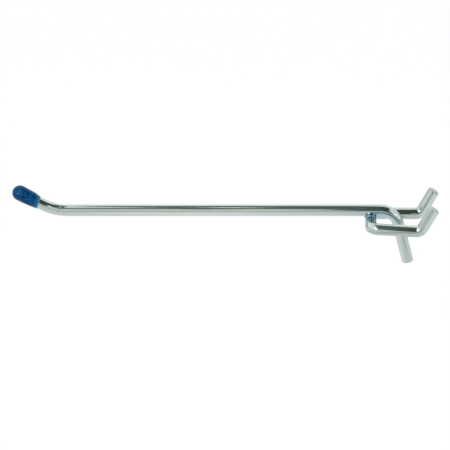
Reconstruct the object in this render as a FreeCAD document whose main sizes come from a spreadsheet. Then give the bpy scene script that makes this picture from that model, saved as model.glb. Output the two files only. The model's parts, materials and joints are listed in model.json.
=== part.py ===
import FreeCAD, Part

import math
import os

import Sketcher

# A double-prong pegboard hook: two bent wires welded where they cross, and a soft cap on the front tip.
# Frame: +X runs back into the board, +Y across it, +Z up. The origin lies on the front face of the board,
# midway between the two prongs and at the height of their axes, where they pass into the board.

# Driving dimensions, in millimetres and degrees. Bends are given by the radius of the former inside them.
SIZES = {
    # Both wires are cut from the same coil.
    "wire_diameter": 5.7,
    "end_chamfer": 0.4,
    # The arm with its upturned tip and its brace leg.
    "arm_straight": 152.3,
    "tip_bend_inside": 23.6,
    "tip_rise": 28.5,
    "leg_bend_inside": 6.0,
    "leg_slope": 13.4,
    "leg_straight": 20.3,
    # The staple that hooks into the board.
    "prong_spacing": 25.4,
    "prong_run": 20.85,
    "prong_lead": 1.0,
    "prong_splay": 4.4,
    "prong_droop": 1.7,
    "corner_inside": 1.2,
    "prong_bend_inside": 1.2,
    "prong_rise": 62.4,
    "prong_tip": 11.1,
    # The weld where the staple's back crosses under the arm.
    "weld_set_down": 0.1,
    "flash_radius": 3.4,
    "flash_root_radius": 2.3,
    "flash_thickness": 2.4,
    "flash_edge": 0.8,
    # The soft cap on the tip of the arm.
    "cap_lead": 1.87,
    "cap_length": 14.1,
    "cap_floor": 2.0,
    "cap_lip": 0.2,
    "cap_neck": 4.0,
    "cap_wall": 0.8,
    "cap_dome_radius": 3.82,
    "cap_clearance": 0.02,
}

# Dimensions that follow from the driving ones.
DERIVED = {
    "wire_radius": "sizes.wire_diameter / 2",
    # The staple, in its own plane: half its back, a corner and a prong that reaches into the board.
    "prong_reach": "sizes.prong_run + sizes.prong_lead",
    "corner_radius": "sizes.corner_inside + wire_radius",
    "corner_turn": "90 - sizes.prong_splay",
    "corner_reach": "corner_radius * (1 - sin(sizes.prong_splay))",
    "prong_straight": "(prong_reach - corner_reach) / cos(sizes.prong_splay)",
    "prong_drift": "prong_straight * sin(sizes.prong_splay)",
    "half_spacing": "sizes.prong_spacing / 2",
    "half_back": "half_spacing - prong_drift - corner_radius * cos(sizes.prong_splay)",
    "prong_bend_radius": "sizes.prong_bend_inside + wire_radius",
    # The place of the staple's back, from which the prongs droop to the origin.
    "back_x": "-sizes.prong_run * cos(sizes.prong_droop)",
    "back_z": "sizes.prong_run * sin(sizes.prong_droop)",
    # The weld: the arm is sunk into the staple's back, and the flash lies halfway between their surfaces.
    "axis_gap": "sizes.wire_diameter - sizes.weld_set_down",
    "flash_height": "axis_gap / 2",
    "seat_length": "2 * (sizes.flash_radius + sizes.wire_diameter)",
    # The arm and its leg. The rear edge of the leg's cut end touches the front face of the board.
    "arm_z": "back_z + axis_gap",
    "leg_bend_radius": "sizes.leg_bend_inside + wire_radius",
    "leg_turn": "90 - sizes.leg_slope",
    "leg_end_x": "-wire_radius * cos(sizes.leg_slope)",
    "leg_drop": "leg_bend_radius * (1 - sin(sizes.leg_slope)) + sizes.leg_straight * cos(sizes.leg_slope)",
    "leg_end_z": "arm_z - leg_drop",
    "leg_reach": "leg_bend_radius * cos(sizes.leg_slope) + sizes.leg_straight * sin(sizes.leg_slope)",
    "tip_bend_radius": "sizes.tip_bend_inside + wire_radius",
    "tip_bend_x": "leg_end_x - leg_reach - sizes.arm_straight",
    # The cap, which covers the end of the arm from its mouth to its floor.
    "cap_depth": "sizes.cap_length - sizes.cap_floor",
    "tip_straight": "sizes.cap_lead + cap_depth - sizes.cap_clearance",
    "mouth_x": "tip_bend_x - tip_bend_radius * sin(sizes.tip_rise) - sizes.cap_lead * cos(sizes.tip_rise)",
    "mouth_z": "arm_z + tip_bend_radius * (1 - cos(sizes.tip_rise)) + sizes.cap_lead * sin(sizes.tip_rise)",
    "cap_bore": "wire_radius + sizes.cap_clearance",
    "cap_sleeve_radius": "cap_bore + sizes.cap_wall",
}

# A sketch numbers the points of a line or an arc upwards from 1, and its own axes downwards from -1.
# Its origin is the first point of its flat axis.
START, END, CENTRE = range(1, 4)
FLAT_AXIS, UPRIGHT_AXIS = range(-1, -3, -1)
ORIGIN = FLAT_AXIS
LEFT, RIGHT = 1, -1

ZERO = FreeCAD.Vector(0, 0, 0)
NORMAL = FreeCAD.Vector(0, 0, 1)

# Two points closer than this are the same point.
COINCIDENT = 0.01
# A rotation keeps its axis only while it turns by something, so it starts at this angle until it is bound.
FIRST_TURN = 1

doc = FreeCAD.newDocument("pegboard_hook")


def make_sizes():
    """The sheet of driving dimensions: one named cell for each."""
    sheet = doc.addObject("Spreadsheet::Sheet", "sizes")
    for row, (name, value) in enumerate(SIZES.items(), start=1):
        sheet.set(f"A{row}", name)
        sheet.set(f"B{row}", str(value))
        sheet.setAlias(f"B{row}", name)
    doc.recompute()
    return sheet


def make_derived():
    """The set of dependent dimensions, each bound to the sheet by its formula."""
    variables = doc.addObject("App::VarSet", "derived")
    for name in DERIVED:
        variables.addProperty("App::PropertyFloat", name, "Hook")
    for name, formula in DERIVED.items():
        variables.setExpression(name, formula)
    doc.recompute()
    return variables


sizes = make_sizes()
derived = make_derived()


def value_of(name):
    """The present value of a dimension, for the first drawing of a sketch."""
    if name in DERIVED:
        return getattr(derived, name)
    return float(sizes.get(name))


def reference(name):
    """The name of a dimension as the expressions spell it."""
    if name in DERIVED:
        return "derived." + name
    return "sizes." + name


def new_body(label):
    body = doc.addObject("PartDesign::Body", label)
    body.Label = label
    return body


def origin_plane(body, role):
    return next(item for item in body.Origin.OriginFeatures if item.Role == role)


def new_sketch(body, name, role):
    """A sketch on one of the body's own origin planes."""
    sketch = body.newObject("Sketcher::SketchObject", name)
    sketch.AttachmentSupport = [(origin_plane(body, role), "")]
    sketch.MapMode = "FlatFace"
    return sketch


def shift_sketch(sketch, turn_axis, turn, **moves):
    """Moves a sketch off its plane by bound distances and turns it by a bound angle."""
    sketch.AttachmentOffset = FreeCAD.Placement(ZERO, FreeCAD.Rotation(turn_axis, FIRST_TURN))
    sketch.setExpression("AttachmentOffset.Rotation.Angle", turn)
    for letter, distance in moves.items():
        sketch.setExpression("AttachmentOffset.Base." + letter, distance)


def place(body, x, z, tilt):
    """Sets a body in the frame of the hook, turned about +Y, with every value bound."""
    body.Placement = FreeCAD.Placement(ZERO, FreeCAD.Rotation(FreeCAD.Vector(0, 1, 0), FIRST_TURN))
    body.setExpression("Placement.Base.x", x)
    body.setExpression("Placement.Base.z", z)
    body.setExpression("Placement.Rotation.Angle", tilt)
    doc.recompute()


def constrain(sketch, *constraint):
    return sketch.addConstraint(Sketcher.Constraint(*constraint))


def dimension(sketch, name, *constraint):
    """Adds a dimension to a sketch and binds it to the named size."""
    value = value_of(name)
    if constraint[0] == "Angle":
        value = math.radians(value)
    index = constrain(sketch, *constraint, value)
    sketch.renameConstraint(index, name)
    sketch.setExpression("Constraints." + name, reference(name))


def polar(angle, length):
    turn = math.radians(angle)
    return FreeCAD.Vector(length * math.cos(turn), length * math.sin(turn), 0)


def draw_section(sketch):
    """The round section of the wire, about the sketch's origin."""
    circle = sketch.addGeometry(Part.Circle(ZERO, NORMAL, value_of("wire_radius")))
    constrain(sketch, "Coincident", circle, CENTRE, ORIGIN, START)
    dimension(sketch, "wire_radius", "Radius", circle)


def draw_path(sketch, heading, steps):
    """The centre line of a wire: straight runs and tangent bends from the sketch's origin.

    A step is (length,) for a straight run or (radius, turn, side) for a bend, in names of sizes.
    The heading, 0 or 90, is the direction in which the path sets out. Returns the path's far end.
    """
    point = ZERO
    before = None
    for step in steps:
        if len(step) == 1:
            length, = step
            following = point + polar(heading, value_of(length))
            piece = sketch.addGeometry(Part.LineSegment(point, following))
            dimension(sketch, length, "Distance", piece)
            near, far = START, END
        else:
            radius, turn, side = step
            centre = point + polar(heading + 90 * side, value_of(radius))
            start = heading - 90 * side
            stop = start + value_of(turn) * side
            following = centre + polar(stop, value_of(radius))
            low, high = sorted((math.radians(start), math.radians(stop)))
            circle = Part.Circle(centre, NORMAL, value_of(radius))
            piece = sketch.addGeometry(Part.ArcOfCircle(circle, low, high))
            dimension(sketch, radius, "Radius", piece)
            dimension(sketch, turn, "Angle", piece)
            heading = heading + value_of(turn) * side
            near, far = (START, END) if side == LEFT else (END, START)
        if before:
            constrain(sketch, "Tangent", *before, piece, near)
        else:
            constrain(sketch, "Coincident", piece, near, ORIGIN, START)
            if len(step) == 1:
                constrain(sketch, "Vertical" if heading == 90 else "Horizontal", piece)
            else:
                constrain(sketch, "PointOnObject", piece, CENTRE, UPRIGHT_AXIS)
        before = (piece, far)
        point = following
    doc.recompute()
    return point


def sweep_wire(body, name, section, path):
    """Carries the section of the wire along all the edges of a path."""
    pipe = body.newObject("PartDesign::AdditivePipe", name)
    pipe.Profile = section
    pipe.Spine = (path, [f"Edge{number}" for number in range(1, path.GeometryCount + 1)])
    doc.recompute()
    return pipe


def revolve(body, name, sketch, axis):
    """Turns a closed section all the way round one of its sketch's axes."""
    feature = body.newObject("PartDesign::Revolution", name)
    feature.Profile = sketch
    feature.ReferenceAxis = (sketch, [axis])
    feature.Angle = 360
    doc.recompute()
    return feature


def find_rims(base, centres):
    """The names of the circular edges whose centre is one of the given points."""
    rims = []
    for number, edge in enumerate(base.Shape.Edges, start=1):
        if edge.Degenerated or not isinstance(edge.Curve, Part.Circle):
            continue
        if min(edge.Curve.Center.distanceToPoint(centre) for centre in centres) < COINCIDENT:
            rims.append(f"Edge{number}")
    return rims


def chamfer_ends(body, base, name, centres):
    """Breaks the sharp rims of the wire's cut ends, which have their centres at the given points."""
    chamfer = body.newObject("PartDesign::Chamfer", name)
    chamfer.Base = (base, find_rims(base, centres))
    chamfer.setExpression("Size", "sizes.end_chamfer")
    doc.recompute()


def make_hook_wire():
    """The arm: one wire, swept from the cut end of its leg to the end inside the cap."""
    body = new_body("hook_wire")
    section = new_sketch(body, "arm_section", "XY_Plane")
    draw_section(section)
    path = new_sketch(body, "arm_path", "XZ_Plane")
    leg = [("leg_straight",), ("leg_bend_radius", "leg_turn", LEFT)]
    tip = [("tip_bend_radius", "tip_rise", RIGHT), ("tip_straight",)]
    tip_end = draw_path(path, 90, [*leg, ("arm_straight",), *tip])
    wire = sweep_wire(body, "bent_arm", section, path)
    cut_ends = [ZERO, FreeCAD.Vector(tip_end.x, 0, tip_end.y)]
    chamfer_ends(body, wire, "arm_cut_ends", cut_ends)
    place(body, "derived.leg_end_x", "derived.leg_end_z", "-sizes.leg_slope")
    return body


def make_prong_wire():
    """The staple: half of it is swept from the weld to the tip of one prong, then mirrored."""
    body = new_body("prong_wire")
    back_section = new_sketch(body, "back_section", "XZ_Plane")
    draw_section(back_section)
    # In the plane of the staple: half the back, the rounded corner and one splayed prong.
    staple_path = new_sketch(body, "staple_path", "XY_Plane")
    corner = ("corner_radius", "corner_turn", RIGHT)
    prong_end = draw_path(staple_path, 90, [("half_back",), corner, ("prong_straight",)])
    half = sweep_wire(body, "half_staple", back_section, staple_path)
    # In the upright plane of that prong: the turn behind the board and the straight tip.
    upright = FreeCAD.Vector(0, 1, 0)
    splay = "sizes.prong_splay"
    prong_section = new_sketch(body, "prong_section", "YZ_Plane")
    shift_sketch(prong_section, upright, splay, x="derived.half_spacing", z="derived.prong_reach")
    draw_section(prong_section)
    prong_path = new_sketch(body, "prong_path", "XZ_Plane")
    shift_sketch(prong_path, upright, splay, x="derived.prong_reach", z="-derived.half_spacing")
    tip_end = draw_path(prong_path, 0, [("prong_bend_radius", "prong_rise", LEFT), ("prong_tip",)])
    prong = sweep_wire(body, "prong", prong_section, prong_path)
    both = body.newObject("PartDesign::Mirrored", "both_prongs")
    both.Originals = [half, prong]
    both.MirrorPlane = (origin_plane(body, "XZ_Plane"), [""])
    body.Tip = both
    doc.recompute()
    add_weld_flash(body)
    welded = cut_arm_seat(body)
    far_tip = prong_end + polar(value_of("prong_splay"), tip_end.x) + FreeCAD.Vector(0, 0, tip_end.y)
    near_tip = FreeCAD.Vector(far_tip.x, -far_tip.y, far_tip.z)
    chamfer_ends(body, welded, "prong_cut_ends", [far_tip, near_tip])
    place(body, "derived.back_x", "derived.back_z", "sizes.prong_droop")
    return body


def add_weld_flash(body):
    """The blunt-edged collar of metal that the weld squeezed out between the two wires."""
    sketch = new_sketch(body, "flash_section", "XZ_Plane")
    middle = value_of("flash_height")
    half = value_of("flash_thickness") / 2
    half_edge = value_of("flash_edge") / 2
    root = value_of("flash_root_radius")
    rim = value_of("flash_radius")
    corners = [(0, -half), (root, -half), (rim, -half_edge), (rim, half_edge), (root, half), (0, half)]
    points = [FreeCAD.Vector(x, middle + z, 0) for x, z in corners]
    sides = []
    for here, following in zip(points, points[1:] + points[:1]):
        sides.append(sketch.addGeometry(Part.LineSegment(here, following)))
    bottom, lower_slope, edge, upper_slope, top, axis = sides
    for side, following in zip(sides, sides[1:] + sides[:1]):
        constrain(sketch, "Coincident", side, END, following, START)
    for level in (bottom, top):
        constrain(sketch, "Horizontal", level)
    for upright in (edge, axis):
        constrain(sketch, "Vertical", upright)
    constrain(sketch, "PointOnObject", bottom, START, UPRIGHT_AXIS)
    constrain(sketch, "Equal", bottom, top)
    constrain(sketch, "Equal", lower_slope, upper_slope)
    dimension(sketch, "flash_root_radius", "DistanceX", bottom, START, bottom, END)
    dimension(sketch, "flash_radius", "DistanceX", ORIGIN, START, edge, START)
    dimension(sketch, "flash_thickness", "DistanceY", axis, END, axis, START)
    dimension(sketch, "flash_edge", "DistanceY", edge, START, edge, END)
    middle_point = sketch.addGeometry(Part.Point(FreeCAD.Vector(0, middle, 0)), True)
    constrain(sketch, "Symmetric", axis, START, axis, END, middle_point, START)
    dimension(sketch, "flash_height", "DistanceY", ORIGIN, START, middle_point, START)
    doc.recompute()
    revolve(body, "weld_flash", sketch, "V_Axis")


def cut_arm_seat(body):
    """The shallow saddle in the staple's back and its flash, where the arm lies in the weld."""
    sketch = new_sketch(body, "arm_seat_section", "YZ_Plane")
    droop = "sizes.prong_droop"
    height = f"derived.axis_gap * cos({droop})"
    lead = f"-derived.axis_gap * sin({droop})"
    shift_sketch(sketch, FreeCAD.Vector(1, 0, 0), "-" + droop, y=height, z=lead)
    draw_section(sketch)
    seat = body.newObject("PartDesign::Pocket", "arm_seat")
    seat.Profile = sketch
    seat.Midplane = True
    seat.setExpression("Length", "derived.seat_length")
    doc.recompute()
    return seat


def make_tip_cap():
    """The soft cap: a sleeve that narrows to its mouth and ends in a dome, revolved about the arm's tip."""
    body = new_body("tip_cap")
    sketch = new_sketch(body, "cap_section", "XZ_Plane")
    bore = value_of("cap_bore")
    lip = bore + value_of("cap_lip")
    neck_end = FreeCAD.Vector(value_of("cap_neck"), value_of("cap_sleeve_radius"), 0)
    apex = value_of("cap_length")
    depth = value_of("cap_depth")
    dome_radius = value_of("cap_dome_radius")
    dome_centre = FreeCAD.Vector(apex - dome_radius, 0, 0)
    shoulder = dome_centre + polar(90, dome_radius)
    outline = [(0, bore), (0, lip), (apex, 0), (depth, 0), (depth, bore)]
    points = [FreeCAD.Vector(x, z, 0) for x, z in outline]
    mouth = sketch.addGeometry(Part.LineSegment(points[0], points[1]))
    neck = sketch.addGeometry(Part.LineSegment(points[1], neck_end))
    side = sketch.addGeometry(Part.LineSegment(neck_end, shoulder))
    circle = Part.Circle(dome_centre, NORMAL, dome_radius)
    crown = sketch.addGeometry(Part.ArcOfCircle(circle, 0, math.radians(90)))
    axis = sketch.addGeometry(Part.LineSegment(points[2], points[3]))
    floor = sketch.addGeometry(Part.LineSegment(points[3], points[4]))
    wall = sketch.addGeometry(Part.LineSegment(points[4], points[0]))
    joins = [(mouth, END, neck, START), (neck, END, side, START), (crown, START, axis, START)]
    joins += [(axis, END, floor, START), (floor, END, wall, START), (wall, END, mouth, START)]
    for join in joins:
        constrain(sketch, "Coincident", *join)
    constrain(sketch, "Tangent", side, END, crown, END)
    for upright in (mouth, floor):
        constrain(sketch, "Vertical", upright)
    constrain(sketch, "Horizontal", wall)
    constrain(sketch, "PointOnObject", mouth, START, UPRIGHT_AXIS)
    for piece, point in ((crown, START), (crown, CENTRE), (axis, END)):
        constrain(sketch, "PointOnObject", piece, point, FLAT_AXIS)
    dimension(sketch, "cap_bore", "DistanceY", ORIGIN, START, mouth, START)
    dimension(sketch, "cap_lip", "DistanceY", mouth, START, mouth, END)
    dimension(sketch, "cap_neck", "DistanceX", ORIGIN, START, neck, END)
    dimension(sketch, "cap_sleeve_radius", "DistanceY", ORIGIN, START, neck, END)
    dimension(sketch, "cap_dome_radius", "Radius", crown)
    dimension(sketch, "cap_length", "DistanceX", ORIGIN, START, crown, START)
    dimension(sketch, "cap_depth", "DistanceX", ORIGIN, START, axis, END)
    doc.recompute()
    revolve(body, "cap_sleeve", sketch, "H_Axis")
    place(body, "derived.mouth_x", "derived.mouth_z", "180 + sizes.tip_rise")
    return body


def write_parts(bodies):
    """Writes one STEP file for each piece, once every object of the document is sound."""
    doc.recompute()
    for item in doc.Objects:
        if "Invalid" in item.State or "Error" in item.State:
            raise RuntimeError(f"{item.Label} did not rebuild: {item.State}")
    for body in bodies:
        if body.Shape.isNull() or not body.Shape.isValid():
            raise RuntimeError(f"{body.Label} is not a sound solid")
    os.makedirs("parts", exist_ok=True)
    for body in bodies:
        body.Shape.exportStep(f"parts/{body.Label}.step")
        print(f"{body.Label}: {len(body.Shape.Solids)} solid, {body.Shape.Volume:.2f} mm3")


write_parts([make_hook_wire(), make_prong_wire(), make_tip_cap()])
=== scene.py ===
# %% [markdown]
# # A pegboard hook of plated wire
# The real hook is two steel wires, bent cold and welded where they cross, then bright zinc plated.
# A blue vinyl cap, dip moulded, is pushed over the tip of the arm.
# The packed frame already holds the three pieces at their true size, so this lesson only dresses them.
# Each piece is worked out again as a finer surface, given its finish, and set to ride on the frame.

# %% Load the frame
import json
import math
import bpy
import numpy as np
from mathutils import Matrix, Vector


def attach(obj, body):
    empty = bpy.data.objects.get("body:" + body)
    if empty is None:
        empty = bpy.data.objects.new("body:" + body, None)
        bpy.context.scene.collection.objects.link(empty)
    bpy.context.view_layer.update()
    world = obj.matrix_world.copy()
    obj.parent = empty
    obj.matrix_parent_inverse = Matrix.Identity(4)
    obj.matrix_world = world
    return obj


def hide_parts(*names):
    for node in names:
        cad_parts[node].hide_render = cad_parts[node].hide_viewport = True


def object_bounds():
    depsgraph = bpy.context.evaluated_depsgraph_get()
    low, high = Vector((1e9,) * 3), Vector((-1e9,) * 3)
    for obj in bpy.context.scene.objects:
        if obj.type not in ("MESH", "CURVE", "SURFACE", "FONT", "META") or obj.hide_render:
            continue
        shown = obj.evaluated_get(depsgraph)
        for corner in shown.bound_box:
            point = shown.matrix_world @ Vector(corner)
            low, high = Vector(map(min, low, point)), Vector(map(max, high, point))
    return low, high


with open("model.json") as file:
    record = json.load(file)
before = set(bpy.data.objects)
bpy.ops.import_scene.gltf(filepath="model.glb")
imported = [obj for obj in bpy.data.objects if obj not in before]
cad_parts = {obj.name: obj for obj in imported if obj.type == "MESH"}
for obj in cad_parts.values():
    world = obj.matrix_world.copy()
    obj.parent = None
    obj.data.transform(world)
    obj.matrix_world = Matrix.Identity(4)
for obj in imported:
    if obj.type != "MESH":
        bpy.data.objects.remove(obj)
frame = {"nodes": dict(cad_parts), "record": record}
cad_box = [list(corner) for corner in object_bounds()]
print("nodes", sorted(frame["nodes"]), "box", np.round(cad_box, 4).tolist())

# %% [markdown]
# ## Sizes
# The frame's record states the mounts with their radius, length, middle and axis.
# From those we take the wire's radius, the straight run of the arm and the two upturned prong tips.
# What the mounts do not say is how the wire was bent, so the bends are named here.
# They could be measured on the frame's meshes instead, but named sizes are easier to read and to change.

# %% Sizes of the wires
MM = 0.001
mounts = {mount["name"]: mount for mount in frame["record"]["mounts"]}
WIRE_RADIUS = mounts["arm"]["dims"]["r_mm"] * MM
ARM_LENGTH = mounts["arm"]["dims"]["length_mm"] * MM
ARM_MIDDLE = np.array(mounts["arm"]["pos_m"])
PRONG_LENGTH = mounts["prong_far"]["dims"]["length_mm"] * MM
PRONG_MIDDLE = np.array(mounts["prong_far"]["pos_m"])
PRONG_AXIS = np.array(mounts["prong_far"]["axis"])

LEG_SLOPE = math.radians(13.4)
LEG_STRAIGHT = 20.3 * MM
LEG_BEND = 6.0 * MM + WIRE_RADIUS
TIP_RISE = math.radians(28.5)
TIP_BEND = 23.6 * MM + WIRE_RADIUS
TIP_STRAIGHT = 13.95 * MM
PRONG_SPACING = 25.4 * MM
PRONG_REACH = 21.85 * MM
PRONG_SPLAY = math.radians(4.4)
PRONG_DROOP = math.radians(1.7)
PRONG_RISE = math.radians(62.4)
PRONG_BEND = 1.2 * MM + WIRE_RADIUS
CORNER_BEND = 1.2 * MM + WIRE_RADIUS
END_CHAMFER = 0.4 * MM
print("wire radius", WIRE_RADIUS, "arm", ARM_LENGTH, "prong", PRONG_LENGTH)

# %% [markdown]
# ## Runs and bends
# A wire bender feeds straight wire and turns it round a former, so a bent wire is straight runs and arcs.
# We could draw such a line as a curve object, but its bevel gives no say over the section or the ends.
# So each run and bend is worked out as arrays: its points, its direction, one sideways direction carried
# along without twisting, its length so far, and in the bends the direction of the former.

# %% Lay a run or a bend
RUN_STEP = 1.0 * MM
BEND_STEP = math.radians(2.0)


def spun(vector, axis, angles):
    """The vector turned about the unit axis by each angle.

    Its part across the axis goes round by cosine and sine, and its part along the axis stays.
    """
    turn = angles[:, None]
    sideways = np.cross(axis, vector)
    stays = axis * np.dot(axis, vector) * (1 - np.cos(turn))
    return vector * np.cos(turn) + sideways * np.sin(turn) + stays


def lay_run(point, heading, side, length):
    """A straight run: the point plus the heading times the distance. Nothing turns or is pressed."""
    count = max(2, math.ceil(length / RUN_STEP)) + 1
    distance = np.linspace(0, length, count)
    return {
        "point": point + heading * distance[:, None],
        "along": np.repeat(heading[None], count, axis=0),
        "side": np.repeat(side[None], count, axis=0),
        "inward": np.zeros((count, 3)),
        "length": distance,
    }


def lay_bend(point, heading, side, radius, target):
    """A bend: heading and side turn together about the axis square to the old heading and the target.

    The points keep the radius from a centre that lies across the heading. The pull to the former is the
    direction of that centre, times the root of a sine that is nought at both ends of the bend.
    """
    axis = np.cross(heading, target)
    turn = math.atan2(np.linalg.norm(axis), np.dot(heading, target))
    axis = axis / np.linalg.norm(axis)
    angles = np.linspace(0, turn, math.ceil(turn / BEND_STEP) + 1)
    to_centre = spun(np.cross(axis, heading), axis, angles)
    return {
        "point": point + radius * (to_centre[0] - to_centre),
        "along": spun(heading, axis, angles),
        "side": spun(side, axis, angles),
        "inward": to_centre * np.sin(np.pi * angles / turn)[:, None] ** 0.5,
        "length": radius * angles,
    }


ahead, across, upward = np.eye(3)
quarter_bend = lay_bend(np.zeros(3), ahead, upward, 1.0, across)
print("a quarter bend of radius 1 ends at", np.round(quarter_bend["point"][-1], 3))

# %% [markdown]
# ## Joining the steps
# On the bender each step starts where the last one ended, and so it does here.
# The steps could be placed one by one, but then a change of one size would open a gap.
# The ends of the steps are kept as marks, because the frame's mounts lie on some of them.

# %% Lay a whole line


def lay_wire(heading, side, steps):
    """The centre line from the origin: a step is (length,) for a run or (radius, new heading) for a bend."""
    rows = []
    point = np.zeros(3)
    travelled = 0.0
    marks = [point]
    for step in steps:
        lay = lay_run if len(step) == 1 else lay_bend
        row = lay(point, heading, side, *step)
        row["length"] = travelled + row["length"]
        point, heading, side, travelled = (row[key][-1] for key in ("point", "along", "side", "length"))
        marks.append(point)
        rows.append({key: values[1:] for key, values in row.items()} if rows else row)
    path = {key: np.concatenate([row[key] for row in rows]) for key in rows[0]}
    return {**path, "marks": np.array(marks)}


def shift_wire(path, offset):
    """The same line, with an offset added to its points and marks."""
    return {**path, "point": path["point"] + offset, "marks": path["marks"] + offset}


trial_line = lay_wire(ahead, upward, [(1 * MM,), (1 * MM, across), (1 * MM,)])
print("two runs of 1 mm and a bend of 1 mm are", round(trial_line["length"][-1] / MM, 3), "mm long")

# %% [markdown]
# ## The line of the arm
# The arm's wire starts at the cut end of the brace leg, bends into the arm and turns up at the tip.
# It is laid from the origin and then shifted so that its straight run lies on the arm's mount,
# which is simpler than working out first where the end of the leg has to be.
# A little is kept back at each end for the cut face, which is made later.

# %% Lay the arm
END_ROOM = 0.95 * MM
leg_up = np.array([-math.sin(LEG_SLOPE), 0, math.cos(LEG_SLOPE)])
tip_up = np.array([-math.cos(TIP_RISE), 0, math.sin(TIP_RISE)])

leg_steps = [(LEG_STRAIGHT - END_ROOM,), (LEG_BEND, -ahead)]
tip_steps = [(TIP_BEND, tip_up), (TIP_STRAIGHT - END_ROOM,)]
arm_line = lay_wire(leg_up, across, [*leg_steps, (ARM_LENGTH,), *tip_steps])
arm_start, arm_end = arm_line["marks"][2:4]
arm_line = shift_wire(arm_line, ARM_MIDDLE - (arm_start + arm_end) / 2)
print("arm wire", round(arm_line["length"][-1] / MM, 2), "mm")

# %% [markdown]
# ## The line of the staple
# The second wire is a staple: from the near prong's tip to its back under the arm, and on to the far tip.
# Its prongs droop and splay a little before they turn up behind the board.
# It could be one half and a mirror image, but in one whole line the wire's own lines run on through its back.
# It is shifted so that the far prong lies on that prong's mount.

# %% Lay the staple
drooped = np.array([math.cos(PRONG_DROOP), 0, -math.sin(PRONG_DROOP)])
staple_up = np.array([math.sin(PRONG_DROOP), 0, math.cos(PRONG_DROOP)])
far_prong = drooped * math.cos(PRONG_SPLAY) + across * math.sin(PRONG_SPLAY)
near_prong = drooped * math.cos(PRONG_SPLAY) - across * math.sin(PRONG_SPLAY)
far_tip = far_prong * math.cos(PRONG_RISE) + staple_up * math.sin(PRONG_RISE)
near_tip = near_prong * math.cos(PRONG_RISE) + staple_up * math.sin(PRONG_RISE)

prong_tip = PRONG_LENGTH + END_CHAMFER - END_ROOM
corner_reach = CORNER_BEND * (1 - math.sin(PRONG_SPLAY))
prong_straight = (PRONG_REACH - corner_reach) / math.cos(PRONG_SPLAY)
prong_drift = prong_straight * math.sin(PRONG_SPLAY)
back_length = PRONG_SPACING - 2 * (prong_drift + CORNER_BEND * math.cos(PRONG_SPLAY))
near_half = [(prong_tip,), (PRONG_BEND, -near_prong), (prong_straight,), (CORNER_BEND, across)]
far_half = [(CORNER_BEND, far_prong), (prong_straight,), (PRONG_BEND, far_tip), (prong_tip,)]
near_side = np.cross(near_prong, staple_up)
staple_line = lay_wire(-near_tip, near_side, [*near_half, (back_length,), *far_half])
far_bend_end = PRONG_MIDDLE - PRONG_AXIS * PRONG_LENGTH / 2
staple_line = shift_wire(staple_line, far_bend_end - staple_line["marks"][-2])
back_middle = (staple_line["marks"][4] + staple_line["marks"][5]) / 2
print("staple wire", round(staple_line["length"][-1] / MM, 2), "mm, back at", np.round(back_middle / MM, 3))

# %% [markdown]
# ## Cut ends
# A shear leaves its own mark on a wire: a rolled rim, a slanted face, a torn half and here and there a pit.
# Bump in the finish could suggest that, but an end is seen square on and its rim against the light.
# So the face is worked out as a depth over a disc, in rings from the middle to the rim.
# The same sums say how torn and how grainy each point is, and the finish reads that later.

# %% Cut faces
AROUND = 96
FACE_RINGS = 14
RIM_RINGS = 6
RIM_ROUND = 0.36 * MM
TEAR_DEPTH = 0.07 * MM
TEAR_SHADE = 0.25
TEAR_EDGE = (0.25, -0.35)
PIT_DEPTH = 0.5 * MM
PIT_WIDTH = 0.2

phi = np.linspace(0, 2 * np.pi, AROUND, endpoint=False)


def ramp(low, high, values):
    """0 below low, 1 above high, and a smooth cubic between."""
    share = np.clip((values - low) / (high - low), 0, 1)
    return share * share * (3 - 2 * share)


def cut_face(lean, pits):
    """A sheared end on the unit disc: places across it, and how deep, torn and grainy it is there.

    Depth is a quarter round at the rim, plus a slant that grows away from the lean by its length,
    plus crossed waves on the torn side, plus a bell-shaped pit at each given place.
    Grain is one over most of the face and nought at the rim.
    """
    rim = RIM_ROUND / WIRE_RADIUS
    quarter = np.linspace(0, np.pi / 2, RIM_RINGS + 1)[1:]
    reach = np.concatenate([np.linspace(0, 1 - rim, FACE_RINGS), 1 - rim + rim * np.sin(quarter)])[:, None]
    rolled = np.concatenate([np.zeros(FACE_RINGS), RIM_ROUND * (1 - np.cos(quarter))])[:, None]
    x = reach * np.cos(phi)
    y = reach * np.sin(phi)
    slant = np.hypot(*lean)
    uphill = (x * lean[0] + y * lean[1]) / slant
    level = (y * lean[0] - x * lean[1]) / slant
    grain = 1 - reach ** 6 + 0 * x
    torn = ramp(*TEAR_EDGE, uphill) * grain
    waves = 0.5 + 0.25 * np.sin(17 * uphill + 5 * level) + 0.25 * np.sin(13 * level - 9 * uphill)
    pit = 0 * x
    for pit_x, pit_y in pits:
        pit = pit + np.exp(-((x - pit_x) ** 2 + (y - pit_y) ** 2) / PIT_WIDTH ** 2)
    depth = rolled + slant * (1 - uphill) / 2 + TEAR_DEPTH * torn * waves + PIT_DEPTH * pit * grain
    wound = np.clip(TEAR_SHADE * torn * waves + pit, 0, 1)
    return x, y, depth, wound, grain


trial_depth = cut_face((0.3 * MM, 0.0), [])[2]
print("a face that leans by 0.3 mm is up to", round(trial_depth.max() / MM, 2), "mm deep")

# %% [markdown]
# ## From a line to a skin
# A wire's skin is a stack of rings, one round each point of its line, with a cut face at each end.
# Drawn wire is round, but a tight bend flattens it slightly where it was pressed against the former.
# A curve's bevel would give a plain tube. Here all is one array of rings, from the middle of one cut face
# to the middle of the other, so the skin closes by itself, with a pole at each end.
# The skin is a hundredth of a millimetre under size, because the frame's own pieces are cut into flat facets
# and a smooth skin should not stand out of them.

# %% Rings of a wire
BEND_FLAT = 0.022
FACET_ROOM = 0.01 * MM


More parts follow.
